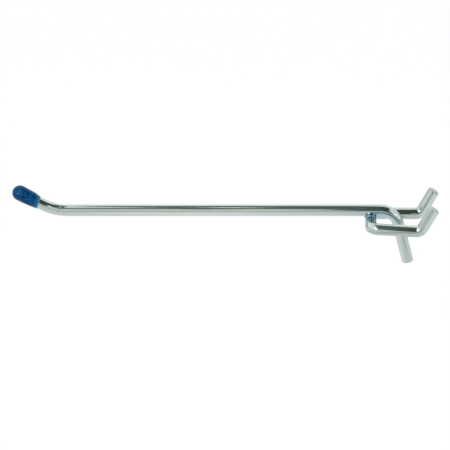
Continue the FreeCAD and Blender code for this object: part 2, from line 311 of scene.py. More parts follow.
def wire_skin(path, cuts):
    """Rings of a wire: each point of the line plus the radius times (cosine side + sine other side).

    The radius is a little less where the ring faces the former in a bend. The cut faces are set on
    the ends of the line: a cut is (lean, pits), the lean as a vector and the pits in wire radii.
    Returns the rings, their place on the straight wire, how torn they are and how grainy.
    """
    side = path["side"]
    other = np.cross(path["along"], side)
    facing = side[:, None] * np.cos(phi)[:, None] + other[:, None] * np.sin(phi)[:, None]
    pressed = np.clip(np.einsum("ijk,ik->ij", facing, path["inward"]), 0, 1)
    radius = (WIRE_RADIUS - FACET_ROOM) * (1 - BEND_FLAT * pressed ** 2)
    rings = [path["point"][:, None] + radius[..., None] * facing]
    length = np.repeat(path["length"][:, None], AROUND, axis=1)
    straight = [np.stack([radius * np.cos(phi), radius * np.sin(phi), length], axis=-1)]
    torn = [np.zeros(length.shape)]
    grainy = [np.zeros(length.shape)]
    for row, outward, (lean, pits) in ((0, -1, cuts[0]), (-1, 1, cuts[1])):
        axes = np.array([side[row], other[row]])
        x, y, depth, wound, grain = cut_face(axes @ lean, [axes @ pit for pit in pits])
        beyond = outward * (END_ROOM - depth)
        spread = (WIRE_RADIUS - FACET_ROOM) * (x[..., None] * side[row] + y[..., None] * other[row])
        face = path["point"][row] + spread + beyond[..., None] * path["along"][row]
        flat = np.stack([WIRE_RADIUS * x, WIRE_RADIUS * y, path["length"][row] + beyond], axis=-1)
        for stack, values in ((rings, face), (straight, flat), (torn, wound), (grainy, grain)):
            if row == 0:
                stack.insert(0, values)
            else:
                stack.append(values[::-1])
    return [np.concatenate(stack) for stack in (rings, straight, torn, grainy)]


print("rings of", AROUND, "points, with", FACE_RINGS + RIM_RINGS, "rings in each cut face")

# %% [markdown]
# ## From rings to a mesh
# Blender wants a list of points and a list of faces. The first and last ring of a stack are single points,
# so they become the poles, closed by fans of triangles. Between the other rings lie quads.
# Edit mode could bridge the rings, but the points are numbered in order, so the faces are arrays as well.
# Faces go round so that they point outwards, away from the metal.

# %% Build a mesh from rings


def pole_to_pole(values):
    """The values of a stack of rings as one list: one for the first pole, all the rings, one for the last."""
    tail = values.shape[2:]
    return np.concatenate([values[0, :1], values[1:-1].reshape(-1, *tail), values[-1, :1]])


def ring_faces(count, around):
    """Quads between neighbouring rings and a fan of triangles at each pole, as lists of point numbers."""
    here = 1 + np.arange((count - 2) * around).reshape(count - 2, around)
    beside = np.roll(here, -1, axis=1)
    quads = np.stack([here[:-1], beside[:-1], beside[1:], here[1:]], axis=-1).reshape(-1, 4)
    first = np.stack([np.zeros(around, int), beside[0], here[0]], axis=-1)
    last = np.stack([np.full(around, here[-1, -1] + 1), here[-1], beside[-1]], axis=-1)
    return quads, np.concatenate([first, last])


def add_object(name, data):
    """A new object in the scene, at the origin."""
    made = bpy.data.objects.new(name, data)
    bpy.context.scene.collection.objects.link(made)
    return made


def make_piece(name, stacks, **attributes):
    """One object at the origin from one or more stacks of rings, with values stored on its points."""
    points = []
    faces = []
    start = 0
    for rings in stacks:
        quads, fans = ring_faces(*rings.shape[:2])
        faces += (quads + start).tolist() + (fans + start).tolist()
        points.append(pole_to_pole(rings))
        start += len(points[-1])
    mesh = bpy.data.meshes.new(name)
    mesh.from_pydata(np.concatenate(points).tolist(), [], faces)
    mesh.shade_smooth()
    for label, values in attributes.items():
        flat = np.concatenate([pole_to_pole(value) for value in values]).astype(np.float32)
        vector = flat.ndim == 2
        layer = mesh.attributes.new(label, "FLOAT_VECTOR" if vector else "FLOAT", "POINT")
        layer.data.foreach_set("vector" if vector else "value", flat.ravel())
    print(name, start, "points", len(faces), "faces")
    return add_object(name, mesh)


trial_quads, trial_fans = ring_faces(4, 6)
print("two poles and two rings of six make", len(trial_quads), "quads and", len(trial_fans), "triangles")

# %% [markdown]
# ## The arm
# This is the long wire with its leg. The cut face of the leg stands highest towards the board and has a pit,
# and the other cut face is hidden in the cap. One skin from pole to pole makes the whole wire,
# where a cylinder for each run would leave seams at the bends.

# %% Make the arm
LEG_CUT = (np.array([0.4, -0.25, 0]) * MM, [np.array([0.55, -0.45, 0])])
CAPPED_CUT = (across * 0.3 * MM, [])


def make_wire(name, rings, straight, torn, grainy):
    """A piece from a wire's rings, with the other three values of the skin stored on its points."""
    return make_piece(name, [rings], straight=[straight], torn=[torn], grainy=[grainy])


arm = make_wire("arm_wire", *wire_skin(arm_line, (LEG_CUT, CAPPED_CUT)))

# %% [markdown]
# ## The staple
# The weld pressed the arm a tenth of a millimetre into the back of the staple.
# A Boolean could cut that seat, but it leaves ragged faces along so shallow a cut.
# Instead the points that would lie inside the arm are lowered to the arm's surface, which leaves a saddle.

# %% Make the staple
NEAR_CUT = (np.array([-0.5, 0.2, 0]) * MM, [])
FAR_CUT = (np.array([-0.15, 0.3, 0]) * MM, [np.array([-0.25, -0.72, 0]), np.array([0.45, -0.70, 0])])


def seat_under_arm(rings):
    """Lowers points inside the arm to its underside.

    The underside is the arm's height less the root of its radius squared less the sideways place squared.
    """
    under = np.abs(rings[..., 1]) < WIRE_RADIUS
    drop = np.sqrt(np.clip(WIRE_RADIUS ** 2 - rings[..., 1] ** 2, 0, None))
    limit = np.where(under & (rings[..., 2] < ARM_MIDDLE[2]), ARM_MIDDLE[2] - drop, np.inf)
    seated = rings.copy()
    seated[..., 2] = np.minimum(rings[..., 2], limit)
    return seated


staple_rings, *staple_values = wire_skin(staple_line, (NEAR_CUT, FAR_CUT))
seated_rings = seat_under_arm(staple_rings)
staple = make_wire("staple_wire", seated_rings, *staple_values)
print("the saddle is", round((staple_rings - seated_rings).max() / MM, 3), "mm deep")

# %% [markdown]
# ## The weld
# A resistance weld squeezes soft metal out of the joint, and it freezes as a lumpy collar with a few beads.
# It could be sculpted or blended from metaballs, but those give no hold on where it meets the wires.
# The collar fills the wedge between two crossed cylinders, so its mid height follows the gap between them,
# and its thickness is that gap plus a little, so that it runs into both wires.

# %% Make the weld
COLLAR_REACH = 2.85 * MM
COLLAR_BITE = 0.16 * MM
COLLAR_PLUMP = 0.75
COLLAR_RINGS = 25
COLLAR_LUMPS = ((0.07, 3, 0.6), (0.05, 7, 2.0), (0.035, 13, 0.0))
DRIP_SIZE = 0.16
DRIP_ANGLE = np.pi * 1.02
DRIP_WIDTH = 0.3
BEAD_RINGS = 13
BEAD_SKIP = 4
BEAD_FLAT = 0.8
BEADS = (
    (math.radians(196), 3.15 * MM, 0.05 * MM, 0.42 * MM),
    (math.radians(232), 3.05 * MM, -0.1 * MM, 0.34 * MM),
    (math.radians(285), 3.2 * MM, -0.15 * MM, 0.3 * MM),
    (math.radians(318), 3.1 * MM, 0.1 * MM, 0.36 * MM),
    (math.radians(28), 3.1 * MM, 0.0 * MM, 0.33 * MM),
    (math.radians(140), 3.2 * MM, 0.1 * MM, 0.3 * MM),
)
GAP_REACH = 0.96 * WIRE_RADIUS
weld_middle = np.array([back_middle[0], 0.0, (back_middle[2] + ARM_MIDDLE[2]) / 2])


def gap_between_wires(x, y):
    """Heights of the staple's top at x and of the arm's underside at y, from their round sections."""
    top = back_middle[2] + np.sqrt(WIRE_RADIUS ** 2 - np.clip(x, -GAP_REACH, GAP_REACH) ** 2)
    underside = ARM_MIDDLE[2] - np.sqrt(WIRE_RADIUS ** 2 - np.clip(y, -GAP_REACH, GAP_REACH) ** 2)
    return top, underside


def weld_collar():
    """A flat lumpy ball about the middle of the weld.

    Its radius is the reach, times lumps of the angle that are sines and one bell, times a root of the
    cosine of latitude. Its height is the middle of the gap, plus the sine of latitude times most of
    half the gap and a bite.
    """
    latitude = np.linspace(-np.pi / 2, np.pi / 2, COLLAR_RINGS)[:, None]
    lumps = sum((size * np.sin(count * phi + begin) for size, count, begin in COLLAR_LUMPS), start=1)
    lumps = lumps + DRIP_SIZE * np.exp(-((phi - DRIP_ANGLE) / DRIP_WIDTH) ** 2)
    edge = COLLAR_REACH * lumps
    reach = edge * np.cos(latitude) ** 0.5
    top, underside = gap_between_wires(edge * np.cos(phi), edge * np.sin(phi))
    thick = np.clip(underside - top, 0, None) / 2 + COLLAR_BITE
    middle = weld_middle[2] + ((top + underside) / 2 - weld_middle[2]) * np.cos(latitude)
    height = middle + COLLAR_PLUMP * thick * np.sin(latitude)
    x = weld_middle[0] + reach * np.cos(phi)
    y = weld_middle[1] + reach * np.sin(phi)
    return np.stack([x, y, height], axis=-1)


def bead(angle, reach, lift, size):
    """A small ball of spatter beside the weld: a sphere by latitude and turn, a little flattened."""
    latitude = np.linspace(-np.pi / 2, np.pi / 2, BEAD_RINGS)[:, None]
    turn = phi[::BEAD_SKIP]
    x = weld_middle[0] + reach * math.cos(angle) + size * np.cos(latitude) * np.cos(turn)
    y = weld_middle[1] + reach * math.sin(angle) + size * np.cos(latitude) * np.sin(turn)
    z = weld_middle[2] + lift + BEAD_FLAT * size * np.sin(latitude) + 0 * turn
    return np.stack([x, y, z], axis=-1)


weld = make_piece("weld_flash", [weld_collar(), *(bead(*values) for values in BEADS)])

# %% [markdown]
# ## The outline of the cap
# A dip-moulded cap is a thin sleeve with a round end, which narrows to a thin mouth.
# A stretched sphere would come near it, but would miss the lip and the bore that show from behind.
# So it is an outline to be turned about the tip of the arm: up the bore, round the lip, along the neck
# and the sleeve, and over the dome.

# %% Outline of the cap
CAP_LENGTH = 14.1 * MM
CAP_DEPTH = 12.1 * MM
CAP_BORE = WIRE_RADIUS + 0.02 * MM
CAP_LIP = CAP_BORE + 0.2 * MM
CAP_SLEEVE = CAP_BORE + 0.8 * MM
CAP_NECK = 4.0 * MM
CAP_DOME = 3.82 * MM
SOFT_EDGE = 9


def arc(centre, radius, start, stop, count):
    """Points of a circle round a centre, from one angle to another."""
    angle = np.linspace(start, stop, count)
    return np.stack([centre[0] + radius * np.cos(angle), centre[1] + radius * np.sin(angle)], axis=-1)


def cap_outline():
    """Distance from the mouth and radius of the outline, from the middle of the bore's floor to the apex.

    The sleeve touches the dome, so the angle between the line from the neck's end to the dome's centre
    and the sleeve has the dome's radius over that line's length as its sine.
    The edge between neck and sleeve is softened by averaging neighbouring points.
    Returns the outline and how many of its points lie inside.
    """
    lip_round = (CAP_LIP - CAP_BORE) / 2
    neck_end = np.array([CAP_NECK, CAP_SLEEVE])
    centre = np.array([CAP_LENGTH - CAP_DOME, 0.0])
    to_centre = centre - neck_end
    slope = math.asin(CAP_DOME / np.hypot(*to_centre)) + math.atan2(to_centre[1], to_centre[0])
    shoulder = centre + CAP_DOME * np.array([-math.sin(slope), math.cos(slope)])
    floor = np.linspace([CAP_DEPTH, 0.0], [CAP_DEPTH, CAP_BORE], 6)[:-1]
    bore = np.linspace([CAP_DEPTH, CAP_BORE], [lip_round, CAP_BORE], 12)
    lip = arc([lip_round, CAP_BORE + lip_round], lip_round, 1.5 * np.pi, 0.5 * np.pi, 9)[1:]
    neck = np.linspace(lip[-1], neck_end, 30)[1:]
    sleeve = np.linspace(neck_end, shoulder, 40)[1:]
    dome = arc(centre, CAP_DOME, np.pi / 2 + slope, 0.0, 48)[1:]
    skin = np.concatenate([neck, sleeve])
    padded = np.concatenate([np.repeat(skin[:1], SOFT_EDGE, 0), skin, np.repeat(skin[-1:], SOFT_EDGE, 0)])
    share = np.full(2 * SOFT_EDGE + 1, 1 / (2 * SOFT_EDGE + 1))
    skin[SOFT_EDGE:-SOFT_EDGE, 1] = np.convolve(padded[:, 1], share, "valid")[SOFT_EDGE:-SOFT_EDGE]
    return np.concatenate([floor, bore, lip, skin, dome]), len(floor) + len(bore) + len(lip)


outline, inside_count = cap_outline()
print("outline of", len(outline), "points, at most", round(outline[:, 1].max() / MM, 3), "mm from the axis")

# %% [markdown]
# ## The cap
# Dipping leaves the real cap slightly lumpy, and its mouth is not quite square.
# A Displace modifier could add lumps, but it would push them outside the frame's own cap.
# So slow waves only take a little away from the radius, and fade out at the lip and the apex.
# The mouth reaches a little further below the wire than above it.

# %% Make the cap
MOUTH_LEAD = 1.87 * MM
MOUTH_SKEW = 0.5 * MM
SKEW_REACH = 5 * MM
CAP_WAVE = 0.035 * MM
CAP_WAVES = ((1500, 2, 0.0), (900, -3, 1.0), (0, 5, 2.4))
LIP_CALM = 12
APEX_CALM = 1.2 * MM

mouth = arm_line["marks"][-2] + tip_up * MOUTH_LEAD
cap_other = np.cross(tip_up, across)
from_mouth = outline[:, :1]
waves = sum(np.sin(along * from_mouth + turns * phi + begin) for along, turns, begin in CAP_WAVES)
calm = ramp(inside_count, inside_count + LIP_CALM, np.arange(len(outline)))[:, None]
calm = calm * ramp(0.0, APEX_CALM, outline[:, 1:])
cap_radius = outline[:, 1:] + CAP_WAVE * (waves / len(CAP_WAVES) - 1) * calm
around = across * np.cos(phi)[:, None] + cap_other * np.sin(phi)[:, None]
above = around @ cap_other * np.sign(cap_other[2])
skew = MOUTH_SKEW * above * ramp(SKEW_REACH, 0.0, from_mouth)
cap_rings = mouth + (from_mouth + skew)[..., None] * tip_up + cap_radius[..., None] * around
cap = make_piece("tip_cap_skin", [cap_rings], from_mouth=[from_mouth + 0 * phi])

# %% [markdown]
# ## Shader maths as plain expressions
# A finish is a sum of small effects, and a tree of nodes is hard to read when each sum is made by hand.
# The nodes could be drawn in the editor, but then they could not be read here.
# So a small class wraps a socket: Python's operators on it add Math nodes, and one method adds any other.

# %% A socket with operators


class Socket:
    """An output of a node tree, or with no output, the tree itself."""

    def __init__(self, tree, output=None):
        self.tree = tree
        self.output = output

    def node(self, kind, settings=None, sockets=None, output=0):
        """Adds a node: first its settings, a ramp's stops among them, then its sockets' values or links."""
        made = self.tree.nodes.new(kind)
        for name, value in (settings or {}).items():
            if name == "stops":
                stops = made.color_ramp.elements
                while len(stops) < len(value):
                    stops.new(1.0)
                for stop, (place, colour) in zip(stops, value):
                    stop.position = place
                    stop.color = colour
            else:
                setattr(made, name, value)
        for name, value in (sockets or {}).items():
            if isinstance(value, Socket):
                self.tree.links.new(value.output, made.inputs[name])
            else:
                made.inputs[name].default_value = value
        return Socket(self.tree, made.outputs[output])

    def math(self, operation, first, second=0.0):
        """A Math node on one or two values."""
        return self.node("ShaderNodeMath", {"operation": operation}, {0: first, 1: second})

    def __add__(self, other):
        return self.math("ADD", self, other)

    def __radd__(self, other):
        return self.math("ADD", other, self)

    def __sub__(self, other):
        return self.math("SUBTRACT", self, other)

    def __rsub__(self, other):
        return self.math("SUBTRACT", other, self)

    def __mul__(self, other):
        return self.math("MULTIPLY", self, other)

    def __rmul__(self, other):
        return self.math("MULTIPLY", other, self)

    def part(self, axis):
        """One of a vector's three numbers, by the letter of its axis."""
        return self.node("ShaderNodeSeparateXYZ", None, {"Vector": self}, axis)

    def between(self, low, high):
        """0 at low, 1 at high, smooth between and flat outside."""
        sockets = {"Value": self, "From Min": low, "From Max": high}
        return self.node("ShaderNodeMapRange", {"interpolation_type": "SMOOTHSTEP"}, sockets)

    def blend(self, first, second):
        """A colour between two, by this value. A Mix node takes colours at 6 and 7 and gives one at 2."""
        return self.node("ShaderNodeMix", {"data_type": "RGBA"}, {"Factor": self, 6: first, 7: second}, 2)

    def noise(self, place, scale, detail=2.0, stretch=None):
        """Cloudy noise at a place, features about one over the scale, stretched by a vector if given."""
        if stretch:
            place = self.node("ShaderNodeMapping", None, {"Vector": place, "Scale": stretch})
        sockets = {"Vector": place, "Scale": scale, "Detail": detail}
        return self.node("ShaderNodeTexNoise", None, sockets)


print("a socket knows", [name for name in vars(Socket) if not name.startswith("_")])

# %% [markdown]
# ## What every finish needs
# Each finish starts as an empty material with one Principled shader, whose sockets are set or linked.
# A pattern could read the scene's space, but then it would slide when the piece moves.
# So it reads the object's own space, or a value that was stored on the piece's points.

# %% Start a finish


def new_finish(name):
    """An empty material, its Principled shader and a starting socket."""
    material = bpy.data.materials.new(name)
    material.use_nodes = True
    tree = material.node_tree
    return material, tree.nodes["Principled BSDF"], Socket(tree)


def feed(shader, name, value):
    """Links a worked-out value to a shader's socket, or sets a plain one."""
    if isinstance(value, Socket):
        value.tree.links.new(value.output, shader.inputs[name])
    else:
        shader.inputs[name].default_value = value


def object_place(start):
    """Where a point lies in its object's own space, in metres."""
    return start.node("ShaderNodeTexCoord", None, None, "Object")


def stored(start, name, output="Fac"):
    """A value that was stored on the points of a piece."""
    return start.node("ShaderNodeAttribute", {"attribute_name": name}, None, output)


def bumped(start, depth, height):
    """A normal tilted by a height, where a height of 1 stands for the depth in metres."""
    return start.node("ShaderNodeBump", None, {"Strength": 1.0, "Distance": depth, "Height": height})


print("the arm's points hold", [layer.name for layer in arm.data.attributes if layer.domain == "POINT"])

# %% [markdown]
# ## Bright zinc on drawn wire
# Wire is pulled through a die, which leaves lines along it that survive bending and plating.
# Plain noise would not follow the bends, and a texture would need unwrapping. But the rings kept each point's
# place on the straight wire, so noise that is stretched along that wire gives lines round every bend.
# Zinc is not one grey: it is warmer in streaks, and the leg has a painted shade, darker and yellower.
# Heat tinted it blue round the weld and scorched it below, and a dark line slips round one side of each wire
# from its first end.

# %% Values of the plated finish
ZINC = (0.575, 0.645, 0.650, 1)
ZINC_WARM = (0.595, 0.655, 0.610, 1)
ZINC_SHADE = (0.45, 0.515, 0.495, 1)
# Painted shade: the zinc of the leg, darker and yellower than the rest.
LEG_PAINTED_SHADE = (0.57, 0.645, 0.54, 1)
MARK_DARK = (0.12, 0.14, 0.13, 1)
WELD_BLUE = (0.31, 0.48, 0.60, 1)
WELD_SCORCH = (0.20, 0.33, 0.44, 1)
BARE_STEEL = (0.10, 0.11, 0.10, 1)

BROAD_LINES = (700, 700, 7)
BROAD_EDGE = (0.42, 0.66)
THIN_LINES = (1500, 1500, 8)
THIN_EDGE = (0.45, 0.65)
FINE_LINES = (4200, 4200, 40)
SLOW_STREAKS = (260, 260, 14)
SLOW_EDGE = (0.4, 0.6)
CLOUD_SCALE = 300.0
GRAIN_SCALE = 2600.0
LINE_DEPTH = 0.03 * MM

# Heights over which the leg's painted shade fades in.
LEG_SHADE_FADE = (-10 * MM, -4 * MM)
TINT_MIDDLE = (weld_middle[0] + 4.5 * MM, weld_middle[1], weld_middle[2] - 2 * MM)
TINT_FADE = (7 * MM, 12.5 * MM)
TINT_WANDER = 4 * MM
SCORCH_MIDDLE = (weld_middle[0], weld_middle[1], weld_middle[2] - 3.5 * MM)
SCORCH_FADE = (7 * MM, 10.5 * MM)
SCORCH_WANDER = 2 * MM
SCORCH_TOP = (weld_middle[2] - 0.5 * MM, weld_middle[2] + 0.5 * MM)
MARK_RISE = 1 * MM
MARK_SLIP = 0.053
MARK_EDGE = (0.3 * MM, 0.8 * MM)
MARK_SIDE = (0.0, 1 * MM)
MARK_GROWS = (8 * MM, 16 * MM)
MARK_FAINT = 0.12
MARK_GAIN = 0.28
print("the weld's tint is round", np.round(np.array(TINT_MIDDLE) / MM, 2))

# %% The plated finish


def near_weld(start, place, middle, fade, wander):
    """1 near a middle, 0 far from it: a falling smooth step of the distance plus a wander."""
    apart = start.node("ShaderNodeVectorMath", {"operation": "DISTANCE"}, {0: place, 1: middle}, "Value")
    return 1 - (apart + wander).between(*fade)


def dark_side_line(straight):
    """How strong the dark line is: strong where the height plus a slip times the length is near its rise.

    It shows on one side of the wire only, and grows away from the cut end.
    """
    out, height, length = (straight.part(axis) for axis in "XYZ")
    off_mark = straight.math("ABSOLUTE", height + MARK_SLIP * length - MARK_RISE)
    mark = (1 - off_mark.between(*MARK_EDGE)) * out.between(*MARK_SIDE)
    return mark * (MARK_FAINT + MARK_GAIN * length.between(*MARK_GROWS))


def plated_finish():
    """Zinc on wire.

    Colour: two zincs in slow streaks, a painted shade that darkens and yellows the leg, a shaded one in broad
    and thin lines, a dark line along one side, the tint and scorch of the weld, and bare steel where a cut is
    torn.
    Roughness: a base plus shares of fine lines, clouds, tint, tears and the grain of the cut faces.
    Bump: a sum of broad lines, fine lines and grain.
    """
    material, shader, start = new_finish("plated_wire")
    place = object_place(start)
    straight = stored(start, "straight", "Vector")
    torn = stored(start, "torn")
    grainy = stored(start, "grainy")
    broad = start.noise(straight, 1.0, 2.0, BROAD_LINES)
    thin = start.noise(straight, 1.0, 2.0, THIN_LINES)
    fine = start.noise(straight, 1.0, 3.0, FINE_LINES)
    slow = start.noise(straight, 1.0, 1.0, SLOW_STREAKS)
    clouds = start.noise(straight, CLOUD_SCALE, 3.0)
    grain = grainy * start.noise(place, GRAIN_SCALE, 2.0)

    rise = place.part("Z")
    # Painted shade: below a height the leg takes a darker, yellower zinc, more dark lines and a share of the
    # shaded zinc.
    leg = 1 - rise.between(*LEG_SHADE_FADE)
    tint = near_weld(start, place, TINT_MIDDLE, TINT_FADE, TINT_WANDER * clouds)
    scorch = near_weld(start, place, SCORCH_MIDDLE, SCORCH_FADE, SCORCH_WANDER * clouds)
    scorch = scorch * (1 - rise.between(*SCORCH_TOP))
    shade = broad.between(*BROAD_EDGE) * 0.7 + thin.between(*THIN_EDGE) * (0.3 + 0.5 * leg) + 0.15 * leg

    colour = slow.between(*SLOW_EDGE).blend(ZINC, ZINC_WARM)
    colour = (leg * 0.65).blend(colour, LEG_PAINTED_SHADE)
    colour = shade.blend(colour, ZINC_SHADE)
    colour = dark_side_line(straight).blend(colour, MARK_DARK)
    colour = (tint * 0.5).blend(colour, WELD_BLUE)
    colour = (scorch * 0.6).blend(colour, WELD_SCORCH)
    feed(shader, "Base Color", torn.blend(colour, BARE_STEEL))
    feed(shader, "Metallic", 1.0)
    polish = 0.05 + 0.07 * fine + 0.02 * clouds
    feed(shader, "Roughness", polish + 0.06 * tint + 0.2 * torn + 0.34 * grainy)
    feed(shader, "Normal", bumped(start, LINE_DEPTH, broad * 0.7 + fine * 0.3 + grain * 1.2))
    return material


plated = plated_finish()
print(plated.name, len(plated.node_tree.nodes), "nodes")

# %% [markdown]
# ## Plated weld metal
# The flash of the weld was plated with the wires, but its skin is coarse and burnt, so it sparkles.
# Painting its patches by hand would take long and suit one distance only, so noise decides between
# a dark blue and a pale zinc, and the same noise lifts the surface.

# %% The weld's finish
FLASH_DARK = (0.07, 0.22, 0.33, 1)
FLASH_PALE = (0.66, 0.84, 0.92, 1)
PATCH_SCALE = 900.0
PATCH_EDGE = (0.40, 0.58)
FLASH_GRAIN_SCALE = 4200.0
FLASH_DEPTH = 0.05 * MM


def weld_finish():
    """Weld metal: two colours by a smooth step of noise, roughness from fine noise, bump from both."""
    material, shader, start = new_finish("plated_weld")
    place = object_place(start)
    patches = start.noise(place, PATCH_SCALE, 3.0)
    grain = start.noise(place, FLASH_GRAIN_SCALE, 2.0)
    feed(shader, "Base Color", patches.between(*PATCH_EDGE).blend(FLASH_DARK, FLASH_PALE))
    feed(shader, "Metallic", 1.0)
    feed(shader, "Roughness", 0.16 + 0.2 * grain)
    feed(shader, "Normal", bumped(start, FLASH_DEPTH, patches + 0.3 * grain))
    return material


plated_weld = weld_finish()
print(plated_weld.name, len(plated_weld.node_tree.nodes), "nodes")

# %% [markdown]
# ## Blue vinyl
# Dip-moulded vinyl is satin, with a slight orange peel and a paler, thinner mouth; pale patches on its dome
# are painted highlights.
# Subsurface light could pale the mouth, but it is slow and blurs so small a piece.
# The distance from the mouth was stored on the points, so the paler band is a smooth step of that value.

# %% The vinyl finish
VINYL = (0.0045, 0.074, 0.195, 1)
VINYL_DEEP = (0.0, 0.029, 0.118, 1)
# Pale blue for painted highlights on the dome.
VINYL_DOME_HIGHLIGHT = (0.07, 0.19, 0.30, 1)
VINYL_MOUTH = (0.020, 0.130, 0.240, 1)
VINYL_LIP = (0.18, 0.36, 0.46, 1)
VINYL_GLINT = (0.12, 0.55, 1.0, 1)
MOTTLE_SCALE = 620.0
MOTTLE_EDGE = (0.36, 0.60)
PEEL_SCALE = 1800.0
PEEL_DEPTH = 0.09 * MM
SPECK_SCALE = 1100.0
SPECK_EDGE = (0.60, 0.72)
DOME_HIGHLIGHT_SCALE = 900.0
DOME_HIGHLIGHT_EDGE = (0.52, 0.66)
DOME_HIGHLIGHT_FADE = (9 * MM, 11.5 * MM)
MOUTH_FADE = (1.4 * MM, 3.4 * MM)
MOUTH_WANDER = 1.2 * MM
LIP_FADE = (0.2 * MM, 0.8 * MM)


def vinyl_finish():
    """Vinyl.

    Colour: two blues in a mottle, paler by smooth steps of the distance from the mouth, with painted
    highlights on the dome.
    Coat: glossy specks. Roughness: a base plus orange peel. Bump: mottle plus peel.
    """
    material, shader, start = new_finish("blue_vinyl")
    place = object_place(start)
    distance = stored(start, "from_mouth")
    mottle = start.noise(place, MOTTLE_SCALE, 3.0)
    peel = start.noise(place, PEEL_SCALE, 2.0)
    specks = start.noise(place, SPECK_SCALE, 1.0).between(*SPECK_EDGE)
    # Painted highlights: pale patches of noise on the dome, past a distance from the mouth.
    dome_highlights = start.noise(place, DOME_HIGHLIGHT_SCALE, 2.0).between(*DOME_HIGHLIGHT_EDGE) * distance.between(*DOME_HIGHLIGHT_FADE)
    thin = 1 - (distance + MOUTH_WANDER * mottle).between(*MOUTH_FADE)
    lip = 1 - distance.between(*LIP_FADE)
    colour = mottle.between(*MOTTLE_EDGE).blend(VINYL, VINYL_DEEP)
    colour = thin.blend(colour, VINYL_MOUTH)
    colour = (0.5 * lip).blend(colour, VINYL_LIP)
    feed(shader, "Base Color", (0.7 * dome_highlights).blend(colour, VINYL_DOME_HIGHLIGHT))
    feed(shader, "Coat Weight", 0.7 * specks)
    feed(shader, "Coat Roughness", 0.12)
    feed(shader, "Roughness", 0.16 + 0.14 * peel)
    feed(shader, "Specular IOR Level", 0.3)
    feed(shader, "Specular Tint", VINYL_GLINT)
    feed(shader, "Normal", bumped(start, PEEL_DEPTH, mottle + 0.4 * peel))
    return material


blue_vinyl = vinyl_finish()
print(blue_vinyl.name, len(blue_vinyl.node_tree.nodes), "nodes")

# %% [markdown]
# ## Dressing the frame
# Each new piece takes the place of the frame's plain one: it rides on the same body.
# The plain pieces could be deleted, but they still stand for the hook wherever it is weighed or touched,
# so they are only hidden.

# %% Dress the pieces


def dress(piece, material, node):
    """Gives a piece its finish, and lets it ride in place of a node of the frame."""
    piece.data.materials.append(material)
    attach(piece, "root")
    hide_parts(node)


dress(arm, plated, "hook_wire")
dress(staple, plated, "prong_wire")
dress(weld, plated_weld, "prong_wire")
dress(cap, blue_vinyl, "tip_cap")
print("dressed", [piece.name for piece in (arm, staple, weld, cap)])

# %% [markdown]
# ## The floor
# Bright metal shows what is around it, so the studio matters as much as the finish.
# The hook hangs over a white floor that keeps its soft shadow. More light would whiten a grey floor,
# but would wash out the hook, so the floor glows a little, and only for the camera and for metal.
# What metal sees of it fades with the distance from the arm, and is a little darker towards the board.

# %% Floor
FLOOR_DROP = 0.03
FLOOR_HALF = 3.0
FLOOR_SHADE = 0.25
FLOOR_GREY = (0.9, 0.9, 0.9, 1)
FLOOR_WHITE = (1.08, 1.08, 1.08, 1)
FLOOR_NEAR = (1.03, 1.03, 1.05, 1)
FLOOR_FAR = (0.71, 0.73, 0.71, 1)
FLOOR_FADE = (0.08, 0.30)
TIP_SIDE = (-0.185, -0.14)
TIP_SHIFT = 0.11
BOARD_SIDE = (-0.05, 0.0)
BOARD_SHADE = 0.22
BOARD_DARK = (0.05, 0.12, 0.05, 1)
BEHIND_BOARD = (0.01, 0.04)
BESIDE_BOARD = (0.10, 0.16)


def stage_piece(name, spots, faces):
    """A piece of the studio, which is not part of the hook."""
    mesh = bpy.data.meshes.new(name)
    mesh.from_pydata(spots, [], faces)
    piece = add_object(name, mesh)
    return piece


def light_path(start, name):
    """1 for rays of the named kind, else 0."""
    return start.node("ShaderNodeLightPath", None, None, name)


def mirror_rays(start):
    """1 for rays that come from metal or glass: the larger of the two."""
    glossy = light_path(start, "Is Glossy Ray")
    return start.math("MAXIMUM", glossy, light_path(start, "Is Transmission Ray"))


def mirrored_floor(start):
    """What metal sees: near to far colour by a smooth step of the distance from the arm's upright plane.

    Past the tip that distance counts for more. Towards the board a share of dark is added, but not behind it.
    """
    place = object_place(start)
    along = place.part("X")
    away = start.math("ABSOLUTE", place.part("Y"))
    tipward = 1 - along.between(*TIP_SIDE)
    behind = along.between(*BEHIND_BOARD) * (1 - away.between(*BESIDE_BOARD))
    boardward = along.between(*BOARD_SIDE) * (1 - behind)
    plain = (away + TIP_SHIFT * tipward).between(*FLOOR_FADE).blend(FLOOR_NEAR, FLOOR_FAR)
    return (BOARD_SHADE * boardward).blend(plain, BOARD_DARK)


def floor_finish():
    """A lit grey floor mixed with a glow: all glow for metal, all but the shade's share for the camera."""
    material, shader, start = new_finish("studio_floor")
    feed(shader, "Base Color", FLOOR_GREY)
    feed(shader, "Roughness", 0.9)
    feed(shader, "Specular IOR Level", 0.0)
    mirror = mirror_rays(start)
    colour = mirror.blend(FLOOR_WHITE, mirrored_floor(start))
    glow = start.node("ShaderNodeEmission", None, {"Color": colour}, "Emission")
    lit = Socket(material.node_tree, shader.outputs["BSDF"])
    seen = light_path(start, "Is Camera Ray") * (1 - FLOOR_SHADE) + mirror
    mixed = start.node("ShaderNodeMixShader", None, {0: seen, 1: lit, 2: glow}, "Shader")
    feed(material.node_tree.nodes["Material Output"], "Surface", mixed)
    return material


floor_height = cad_box[0][2] - FLOOR_DROP
floor_corners = [(-1, -1), (1, -1), (1, 1), (-1, 1)]
floor_spots = [(x * FLOOR_HALF, y * FLOOR_HALF, floor_height) for x, y in floor_corners]
floor = stage_piece("studio_floor", floor_spots, [(0, 1, 2, 3)])
floor.data.materials.append(floor_finish())
print("floor at", round(floor_height / MM, 1), "mm")

# %% [markdown]
# ## The walls
# The camera looks past the hook at plain white, and even light comes from all round.
# Metal sees more: pale walls whose brightness changes with height, a duller one in front and a darker one
# at the right. A picture of a room could do that, but these few colours can be read and changed.

